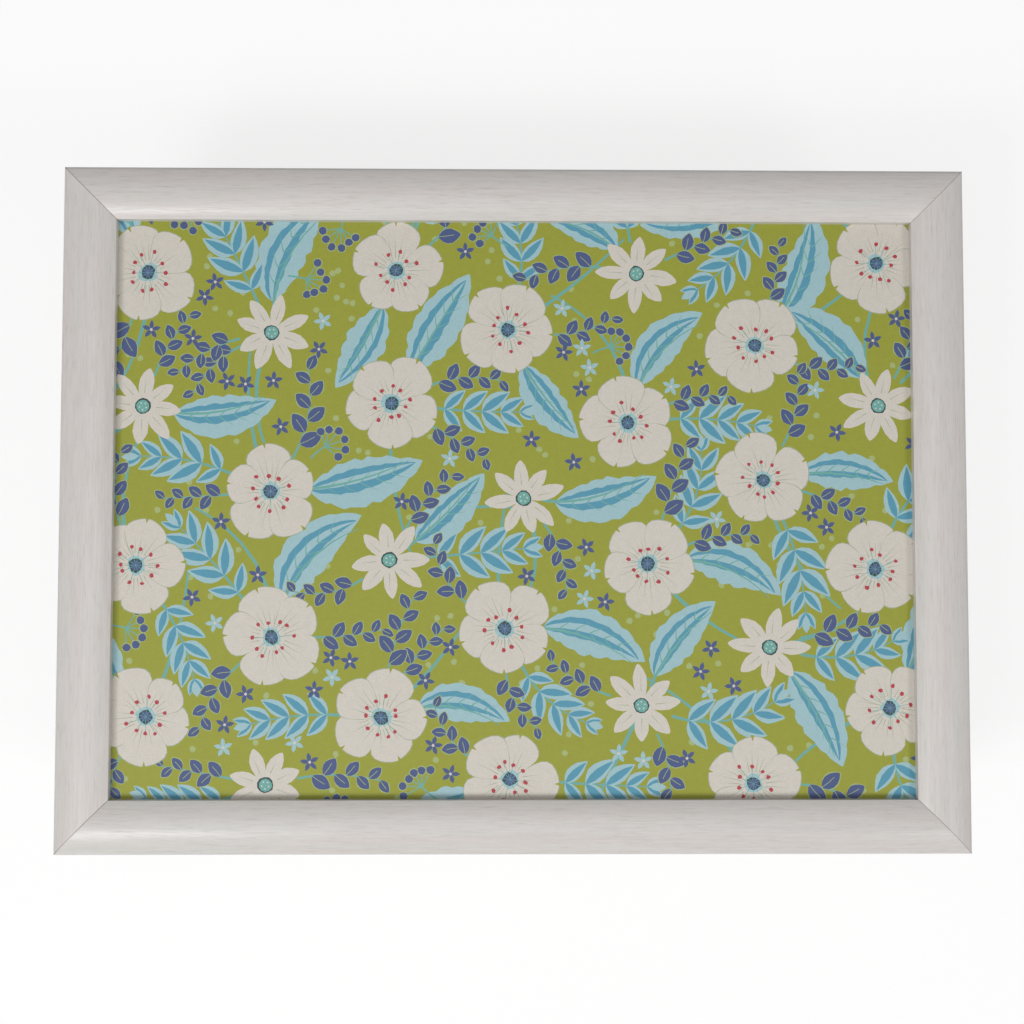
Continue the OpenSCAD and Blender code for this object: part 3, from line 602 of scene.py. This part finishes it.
    def star(self, x, y, r):
        """A small five-pointed filler flower."""
        turn = self.chance.random() * math.tau
        ink = self.chance.choice(("navy", "pale", "navy"))
        for k in range(5):
            self.blade(ink, (x, y), turn + k * math.tau / 5, r, petal(r * 0.24), 0, 5)
        self.dot("cream", x, y, r * 0.16, 0, 6)

    def compose(self, half_w, half_d, rose_r, daisy_r, fern_l):
        """Places blossoms on a half-drop lattice, then greens and fillers where there is room.

        The blossoms are printed last, over the rest.
        """
        chance = self.chance
        blossoms = []
        pitch_x, pitch_y = 2.55 * rose_r, 3.1 * rose_r
        for i in range(-4, 5):
            for j in range(-3, 4):
                x = i * pitch_x + chance.uniform(-5, 5)
                y = (j + 0.5 * (i % 2)) * pitch_y + chance.uniform(-6, 6) + 9
                past = rose_r * 0.6
                if abs(x) < half_w + past and abs(y) < half_d + past:
                    is_rose = (i + 2 * j) % 3 != 0
                    blossoms.append((x, y, rose_r if is_rose else daisy_r, is_rose))
        self.taken = [(x, y, r) for x, y, r, _ in blossoms]
        for x, y, _, _ in blossoms:
            angle, bend = chance.uniform(0, math.tau), chance.uniform(-1.4, 1.4)
            self.blade("teal", (x, y), angle, pitch_y, lambda t: 1.0 - 0.5 * t, bend, 10)
        for kind, tries, slack in GREENS:
            for x, y, r, _ in blossoms:
                for _ in range(tries):
                    angle, bend = chance.uniform(0, math.tau), chance.uniform(-1.0, 1.0)
                    root = around(x, y, 0.8 * r, angle)
                    if kind == "sprig":
                        reach, room = chance.uniform(32, 46), SPRIG_ROOM
                    else:
                        reach, room = fern_l * chance.uniform(0.8, 1.05), LEAF_ROOM
                    discs = [
                        (*self.spine(root, angle, reach, bend, t), reach * w) for t, w in room
                    ]
                    if self.is_free(discs, slack):
                        self.taken += discs
                        getattr(self, kind)(root, angle, reach, bend)
                        break
        for kind, tries, r in FILLERS:
            for _ in range(tries):
                x, y = chance.uniform(-half_w, half_w), chance.uniform(-half_d, half_d)
                angle = chance.uniform(0, math.tau)
                if not self.is_free([(x, y, r)], 0.8):
                    continue
                self.taken.append((x, y, r))
                if kind == "umbel":
                    self.umbel(around(x, y, -4, angle), angle)
                elif kind == "star":
                    self.star(x, y, r)
                else:
                    # The dots are printed first, so that none cuts into a leaf
                    self.dot("halo", x, y, 1.5, 0.3, 7)
                    self.shapes.insert(0, self.shapes.pop())
        for x, y, r, is_rose in blossoms:
            (self.rose if is_rose else self.daisy)(x, y, r)


def inside(shape, x, y):
    """Which of the points at x, y lie inside a closed shape."""
    found = np.zeros(len(x), bool)
    for (x0, y0), (x1, y1) in zip(shape, shape[1:] + shape[:1]):
        if y0 != y1:
            crosses = (y0 > y) != (y1 > y)
            found ^= crosses & (x < x0 + (y - y0) * (x1 - x0) / (y1 - y0))
    return found


def print_mesh(name, low, high, drawing, inks):
    """The printed sheet: flat patches of ink on top, then an edge and a back."""
    corners = ((low.x, low.y), (high.x, low.y), (high.x, high.y), (low.x, high.y))
    sheet = [(x / MM, y / MM) for x, y in corners]
    shapes = [("ground", sheet), *drawing.shapes]
    points, edges = [], []
    for _, shape in shapes:
        first, count = len(points), len(shape)
        edges += [(first + k, first + (k + 1) % count) for k in range(count)]
        points += [Vector(p) for p in shape]
    flat, _, patches, _, _, _ = delaunay_2d_cdt(points, edges, [], 0, 1e-4, False)
    x, y = np.array([[flat[i][:] for i in patch] for patch in patches]).mean(axis=1).T
    top = np.full(len(patches), -1)
    order = list(inks)
    for ink, shape in shapes:
        xs, ys = zip(*shape)
        near = np.nonzero((x > min(xs)) & (x < max(xs)) & (y > min(ys)) & (y < max(ys)))[0]
        top[near[inside(shape, x[near], y[near])]] = order.index(ink)
    off = ~inside(sheet, x, y)
    kept = [patch for patch, gone in zip(patches, off) if not gone]
    mesh = bpy.data.meshes.new(name)
    mesh.from_pydata([(p.x * MM, p.y * MM, high.z) for p in flat], [], kept)
    number = mesh.attributes.new("ink_number", "INT", "FACE")
    number.data.foreach_set("value", top[~off].astype(np.int32))
    piece = new_piece(name, mesh)
    only(piece)
    bpy.ops.object.mode_set(mode="EDIT")
    bpy.ops.mesh.select_mode(type="EDGE")
    bpy.ops.mesh.select_all(action="SELECT")
    bpy.ops.mesh.delete_loose()
    bpy.ops.mesh.select_all(action="SELECT")
    bpy.ops.mesh.normals_make_consistent(inside=False)
    bpy.ops.mesh.select_all(action="DESELECT")
    bpy.ops.mesh.select_non_manifold(
        extend=False, use_wire=False, use_multi_face=False, use_non_contiguous=False,
        use_verts=False,
    )
    bpy.ops.mesh.extrude_edges_move(TRANSFORM_OT_translate={"value": (0, 0, low.z - high.z)})
    bpy.ops.mesh.edge_face_add()
    bpy.ops.mesh.select_all(action="SELECT")
    bpy.ops.mesh.normals_make_consistent(inside=False)
    bpy.ops.object.mode_set(mode="OBJECT")
    mesh = piece.data
    numbers = np.zeros(len(mesh.polygons), np.int32)
    mesh.attributes["ink_number"].data.foreach_get("value", numbers)
    sides = np.zeros(len(mesh.polygons), np.int32)
    mesh.polygons.foreach_get("loop_total", sides)
    tints = np.array([rgba(inks[ink]) for ink in order], np.float32)
    ink = mesh.color_attributes.new("ink", "FLOAT_COLOR", "CORNER")
    ink.data.foreach_set("color", tints[np.repeat(numbers, sides)].ravel())
    mesh.attributes.remove(mesh.attributes["ink_number"])
    return piece


# The cushion

SEAM_Z = 26 * MM
SEAM_BAND = 4 * MM
PUCKER_DEPTH = 3.2 * MM
CLOTH_FRAMES = 20


def swollen(piece, swell, pinned_above):
    """Lets cloth pressure fill the cushion; no point moves further than swell."""
    start = [v.co.copy() for v in piece.data.vertices]
    pins = piece.vertex_groups.new(name="held")
    pins.add([v.index for v in piece.data.vertices if v.co.z > pinned_above], 1.0, "REPLACE")
    cloth = piece.modifiers.new("Cloth", "CLOTH")
    settings = cloth.settings
    settings.quality = 6
    settings.mass = 0.25
    settings.tension_stiffness = settings.compression_stiffness = 12
    settings.shear_stiffness = 6
    settings.bending_stiffness = 0.4
    settings.use_pressure = True
    settings.uniform_pressure_force = 6
    settings.vertex_group_mass = "held"
    settings.effector_weights.gravity = 0
    cloth.point_cache.frame_start, cloth.point_cache.frame_end = 1, CLOTH_FRAMES
    scene = bpy.context.scene
    for number in range(1, CLOTH_FRAMES + 1):
        scene.frame_set(number)
    only(piece)
    bpy.ops.object.modifier_apply(modifier=cloth.name)
    scene.frame_set(1)
    for vertex, was in zip(piece.data.vertices, start):
        step = vertex.co - was
        if step.length > swell:
            vertex.co = was + step * (swell / step.length)
    piece.vertex_groups.clear()


def cushion_widest(piece, count):
    """The cushion's outline at its seam, as points at even angles."""
    ring = [None] * count
    for vertex in piece.data.vertices:
        if abs(vertex.co.z - SEAM_Z) < SEAM_BAND:
            k = int((math.atan2(vertex.co.y, vertex.co.x) / math.tau % 1) * count)
            if ring[k] is None or vertex.co.xy.length > ring[k].length:
                ring[k] = vertex.co.xy.copy()
    for k in range(count):
        if ring[k] is None:
            onward = (ring[(k + s) % count] for s in range(1, count))
            ring[k] = next(point for point in onward if point)
    return [(ring[k - 1] + ring[k] * 2 + ring[(k + 1) % count]) / 4 for k in range(count)]


def pucker(piece, pitch):
    """Draws the cover in along the welt, in soft uneven folds that run out over the panels."""
    across, deep = 0.4, 0.295  # The cushion's rough width and depth, for the count of folds
    count = round(2 * (across + deep) / pitch)
    normals = [vertex.normal.copy() for vertex in piece.data.vertices]
    for vertex, normal in zip(piece.data.vertices, normals):
        p = vertex.co
        turn = math.atan2(p.y / (deep / 2), p.x / (across / 2)) / math.tau
        away = abs(p.z - SEAM_Z)
        wander = noise.noise((p.x * 22, p.y * 22, 3.1)) * 1.6
        fold = 0.5 + 0.5 * math.cos(math.tau * (turn * count) + wander * 3)
        level = 0.45 + 0.55 * noise.noise((p.x * 14, p.y * 14, 7.7))
        crease = PUCKER_DEPTH * max(level, 0.1) * fold * math.exp(-away / (11 * MM))
        dent = 0.9 * MM * noise.noise((p.x * 17, p.y * 17, p.z * 23))
        edge = min(1.0, max(0.0, p.z / (6 * MM)))
        out = Vector((p.x, p.y, 0)).normalized()
        # The cover stands out by a crease's depth, so that only the creases go in
        vertex.co = p + out * (PUCKER_DEPTH - crease) * edge + normal * dent * edge


# The operators, one for each piece or group of like pieces


def eased_group(nodes, ease, finish, rounds=2):
    for node in nodes:
        eased(node, ease, finish, rounds)


class LAPDESK_OT_moulding(bpy.types.Operator):
    """Makes the lid's four mitred rails of foil-wrapped moulding"""

    bl_idname = "lap_desk.moulding"
    bl_label = "Frame moulding"

    def execute(self, context):
        ease = context.scene.lap_desk_sizes.wood_arris
        corner = Vector((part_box("lid_rail_right")[1].x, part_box("lid_rail_back")[1].y))
        eased_group(("lid_rail_front", "lid_rail_back"), ease, washed_foil("x", corner))
        eased_group(("lid_rail_left", "lid_rail_right"), ease, washed_foil("y", corner))
        return {"FINISHED"}


class LAPDESK_OT_printed_panel(bpy.types.Operator):
    """Draws the floral print and lays it on the laminate"""

    bl_idname = "lap_desk.printed_panel"
    bl_label = "Printed panel"

    def execute(self, context):
        sizes, tints = context.scene.lap_desk_sizes, context.scene.lap_desk_colours
        low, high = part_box("print_laminate")
        drawing = Drawing(seed=29)
        drawing.compose(
            high.x / MM, high.y / MM, sizes.rose_r / MM, sizes.daisy_r / MM, sizes.fern_l / MM
        )
        names = (
            "ground", "cream", "vein", "pale", "blue", "teal", "navy", "halo", "red", "dark"
        )
        inks = {name: tuple(getattr(tints, name)) for name in names}
        piece = print_mesh("printed_panel", low, high, drawing, inks)
        dress(piece, print_finish())
        stand_for(piece, "print_laminate")
        return {"FINISHED"}


class LAPDESK_OT_lid_core(bpy.types.Operator):
    """Makes the board and lining inside the frame, and the tacks and nails that hold them"""

    bl_idname = "lap_desk.lid_core"
    bl_label = "Lid board and lining"

    def execute(self, context):
        sizes, tints = context.scene.lap_desk_sizes, context.scene.lap_desk_colours
        eased("writing_board", sizes.metal_arris, fibre_board())
        eased("lid_lining", sizes.metal_arris, birch("x"))
        # Zinc-plated sheet steel, punched: grey with a faint bloom
        zinc = metal("zinc_plated_steel", between(tints.steel, BLACK, 0.15), 0.38, "x", 0.2)
        eased_group(("glazing_points", "lid_corner_nails"), sizes.tack_arris, zinc, 1)
        return {"FINISHED"}


class LAPDESK_OT_box(bpy.types.Operator):
    """Makes the box: walls, dowels, bottom board and dividers"""

    bl_idname = "lap_desk.box"
    bl_label = "Box and dividers"

    def execute(self, context):
        ease = context.scene.lap_desk_sizes.wood_arris
        eased_group(("front_wall", "back_wall"), ease, washed_foil("x"))
        eased_group(("left_wall", "right_wall"), ease, washed_foil("y"))
        across, along = birch("x"), birch("y")
        eased_group(("bottom_board", "long_divider"), ease, across)
        eased_group(("short_divider", "wall_dowels"), ease, along)
        return {"FINISHED"}


class LAPDESK_OT_felt(bpy.types.Operator):
    """Makes the felt on the floors of the three bays"""

    bl_idname = "lap_desk.felt"
    bl_label = "Bay felt"

    def execute(self, context):
        edge = context.scene.lap_desk_sizes.felt_edge
        eased_group(("paper_bay_felt", "keepsake_bay_felt", "pen_tray_felt"), edge, wool_felt(), 3)
        return {"FINISHED"}


class LAPDESK_OT_hinges(bpy.types.Operator):
    """Makes the two brass butt hinges and their screws"""

    bl_idname = "lap_desk.hinges"
    bl_label = "Hinges"

    def execute(self, context):
        sizes, tints = context.scene.lap_desk_sizes, context.scene.lap_desk_colours
        # Rolled and brushed sheet brass, lacquered: warm satin with lines along the pin
        satin = metal("brushed_sheet_brass", tints.brass, 0.26, "x", 0.16)
        leaves = [f"hinge_{side}_{on}_leaf" for side in ("left", "right") for on in ("lid", "box")]
        eased_group(leaves, sizes.metal_arris, satin)
        # Drawn brass wire, turned and polished: brighter than the leaves
        drawn = metal("drawn_brass", between(tints.brass, WHITE, 0.08), 0.18, "x", 0.1)
        eased_group(("hinge_left_pin", "hinge_right_pin"), sizes.metal_arris, drawn)
        eased_group(("hinge_lid_screws", "hinge_box_screws"), sizes.screw_arris, drawn, 1)
        return {"FINISHED"}


class LAPDESK_OT_stay(bpy.types.Operator):
    """Makes the lid stay: brackets, arms, rivets and screws"""

    bl_idname = "lap_desk.stay"
    bl_label = "Lid stay"

    def execute(self, context):
        sizes, tints = context.scene.lap_desk_sizes, context.scene.lap_desk_colours
        # Nickel-plated strip steel, brushed along its length
        strip = metal("brushed_strip_steel", tints.steel, 0.27, "y", 0.18)
        strips = ("stay_wall_bracket", "stay_lid_bracket", "stay_lower_arm", "stay_upper_arm")
        eased_group(strips, sizes.metal_arris, strip)
        # Headed steel wire, tumbled bright
        bright = metal("tumbled_bright_steel", between(tints.steel, WHITE, 0.1), 0.2, "x", 0.1)
        rivets = ("stay_wall_rivet", "stay_lid_rivet", "stay_elbow_rivet")
        eased_group(rivets, sizes.rivet_arris, bright, 3)
        eased_group(("stay_wall_screws", "stay_lid_screws"), sizes.screw_arris, bright, 1)
        return {"FINISHED"}


class LAPDESK_OT_catches(bpy.types.Operator):
    """Makes the magnets, their discs and the bumpers on the rim"""

    bl_idname = "lap_desk.catches"
    bl_label = "Catches and bumpers"

    def execute(self, context):
        sizes, tints = context.scene.lap_desk_sizes, context.scene.lap_desk_colours
        # Nickel plating, barrel-polished: mirror-like and faintly warm
        plated = metal("nickel_plating", tints.nickel, 0.12, "z", 0.12)
        eased_group(("catch_magnets", "catch_discs"), sizes.catch_arris, plated)
        eased("rim_bumpers", sizes.bumper_edge, soft_dot(), 4)
        return {"FINISHED"}


class LAPDESK_OT_tapes(bpy.types.Operator):
    """Makes the hook-and-loop strips between the box and its cushion"""

    bl_idname = "lap_desk.tapes"
    bl_label = "Hook-and-loop strips"

    def execute(self, context):
        edge = context.scene.lap_desk_sizes.tape_edge
        eased_group(("hook_strips", "loop_strips"), edge, hook_and_loop())
        return {"FINISHED"}


class LAPDESK_OT_cushion(bpy.types.Operator):
    """Makes the bead-filled cushion with its piped welt"""

    bl_idname = "lap_desk.cushion"
    bl_label = "Lap cushion"

    def execute(self, context):
        sizes, tints = context.scene.lap_desk_sizes, context.scene.lap_desk_colours
        low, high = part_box("cushion")
        piece = merged_copy("cushion", "cushion_cover")
        middle = Vector((0, 0, high.z / 2))
        shrink = Matrix.Diagonal((0.998, 1.0, 0.99, 1))
        piece.data.transform(Matrix.Translation(middle) @ shrink @ Matrix.Translation(-middle))
        modify(piece, "REMESH", mode="VOXEL", voxel_size=sizes.cushion_cell)
        swollen(piece, sizes.cushion_swell, high.z - 4 * MM)
        modify(piece, "SUBSURF", levels=1, render_levels=1)
        pucker(piece, sizes.pucker)
        for vertex in piece.data.vertices:
            vertex.co.z = min(max(vertex.co.z, low.z), high.z)
        outline = cushion_widest(piece, 180)
        only(piece)
        bpy.ops.object.shade_smooth()
        dress(piece, cotton_canvas("washed_cotton_canvas", tints.cotton))
        stand_for(piece, "cushion")

        path = bpy.data.curves.new("cushion_welt", "CURVE")
        path.dimensions = "3D"
        line = path.splines.new("POLY")
        line.points.add(len(outline) - 1)
        for point, at in zip(line.points, outline):
            point.co = (at.x, at.y, SEAM_Z, 1)
        line.use_cyclic_u = True
        path.bevel_depth = sizes.welt_r
        path.bevel_resolution = 3
        welt = new_piece("cushion_welt", path)
        only(welt)
        bpy.ops.object.convert(target="MESH")
        welt = bpy.context.active_object
        bpy.ops.object.shade_smooth()
        dress(welt, cotton_canvas("cotton_piping", tints.welt))
        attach(welt, "base")
        return {"FINISHED"}


class LAPDESK_OT_stage(bpy.types.Operator):
    """Sets the camera over the lid, the floor, the world and the studio lamps"""

    bl_idname = "lap_desk.stage"
    bl_label = "Stage"

    def execute(self, context):
        scene = context.scene
        scene.view_settings.view_transform = "Standard"
        # The camera looks down on the lid with a slight tilt, as in the photo
        lens = bpy.data.cameras.new("copy_camera")
        lens.lens, lens.sensor_width = 50, 36
        camera = bpy.data.objects.new("copy_camera", lens)
        scene.collection.objects.link(camera)
        turn = (
            Matrix.Rotation(math.radians(2.85), 4, "X")
            @ Matrix.Rotation(math.radians(-0.79), 4, "Y")
            @ Matrix.Rotation(math.radians(0.10), 4, "Z")
        )
        camera.matrix_world = Matrix.Translation((-10.7 * MM, -35.5 * MM, 775.2 * MM)) @ turn
        scene.camera = camera

        bpy.ops.mesh.primitive_plane_add(size=60, location=(0, 0, 0))
        floor = context.active_object
        floor.name = "studio_floor"
        paper, tree, shader = new_finish("white_paper_sweep")
        # The sweep is lit from below for the lens alone, so that it stays white and keeps a
        # shadow near the desk, and is plain white further away
        feed(tree, shader, {"Base Color": (0.95, 0.95, 0.95, 1), "Roughness": 0.9, "IOR": 1.2})
        glow = add(tree, "Emission", None, {"Strength": 1.02})
        place = add(tree, "TexCoord", output="Object")
        reach = add(tree, "VectorMath", {"operation": "LENGTH"}, {0: place}, 1)
        share = add(
            tree, "MapRange", {"interpolation_type": "SMOOTHSTEP"},
            {"Value": reach, "From Min": 0.3, "From Max": 1.4, "To Min": 0.76, "To Max": 1.0},
        )
        to_lens = add(tree, "LightPath")
        lens_sees = add(tree, "Math", {"operation": "MULTIPLY"}, {0: to_lens, 1: share})
        seen = add(tree, "MixShader", None, {0: lens_sees, 1: shader.outputs[0], 2: glow})
        feed(tree, tree.nodes["Material Output"], {"Surface": seen})
        dress(floor, paper)

        world = bpy.data.worlds.new("studio")
        world.use_nodes = True
        scene.world = world
        tree = world.node_tree
        rays = tree.nodes.new("ShaderNodeLightPath")
        plain = rays.outputs["Is Camera Ray"]
        for name in ("Is Glossy Ray", "Is Transmission Ray"):
            plain = add(tree, "Math", {"operation": "MAXIMUM"}, {0: plain, 1: rays.outputs[name]})
        level = add(tree, "MapRange", None, {"Value": plain, "To Min": 0.28, "To Max": 1.0})
        feed(tree, tree.nodes["Background"], {"Color": (1, 1, 1, 1), "Strength": level})

        lamps = (
            # name, place, width, depth, watts
            ("lamp_front_left", (-1.32, -1.19, 2.0), 0.75, 0.75, 23.5),
            ("lamp_front_right", (1.45, -1.13, 1.94), 0.75, 0.75, 16.2),
            ("softbox_overhead", (-0.03, -0.1, 1.27), 0.8, 0.8, 2.2),
            ("softbox_over_left", (-0.47, -0.55, 1.25), 0.3, 0.15, 2.1),
        )
        aim = Vector((0, 0, 0.1))
        for name, place, width, depth, watts in lamps:
            light = bpy.data.lights.new(name, "AREA")
            light.shape, light.size, light.size_y, light.energy = "RECTANGLE", width, depth, watts
            lamp = bpy.data.objects.new(name, light)
            scene.collection.objects.link(lamp)
            lamp.location = place
            lamp.rotation_euler = (aim - Vector(place)).to_track_quat("-Z", "Y").to_euler()
        return {"FINISHED"}


STEPS = (
    LAPDESK_OT_stage,
    LAPDESK_OT_moulding,
    LAPDESK_OT_printed_panel,
    LAPDESK_OT_lid_core,
    LAPDESK_OT_box,
    LAPDESK_OT_felt,
    LAPDESK_OT_hinges,
    LAPDESK_OT_stay,
    LAPDESK_OT_catches,
    LAPDESK_OT_tapes,
    LAPDESK_OT_cushion,
)


class LAPDESK_PT_panel(bpy.types.Panel):
    bl_label = "Lap desk"
    bl_idname = "LAPDESK_PT_panel"
    bl_space_type = "VIEW_3D"
    bl_region_type = "UI"
    bl_category = "Lap desk"

    def draw(self, context):
        for group in (context.scene.lap_desk_sizes, context.scene.lap_desk_colours):
            box = self.layout.box()
            for name in group.__annotations__:
                box.prop(group, name)
        for step in STEPS:
            self.layout.operator(step.bl_idname)


CLASSES = (LapDeskSizes, LapDeskColours, *STEPS, LAPDESK_PT_panel)


def register():
    for made in CLASSES:
        bpy.utils.register_class(made)
    bpy.types.Scene.lap_desk_sizes = bpy.props.PointerProperty(type=LapDeskSizes)
    bpy.types.Scene.lap_desk_colours = bpy.props.PointerProperty(type=LapDeskColours)


def unregister():
    del bpy.types.Scene.lap_desk_colours
    del bpy.types.Scene.lap_desk_sizes
    for made in reversed(CLASSES):
        bpy.utils.unregister_class(made)


def main():
    register()
    for step in STEPS:
        group, name = step.bl_idname.split(".")
        getattr(getattr(bpy.ops, group), name)()


if __name__ == "__main__":
    main()
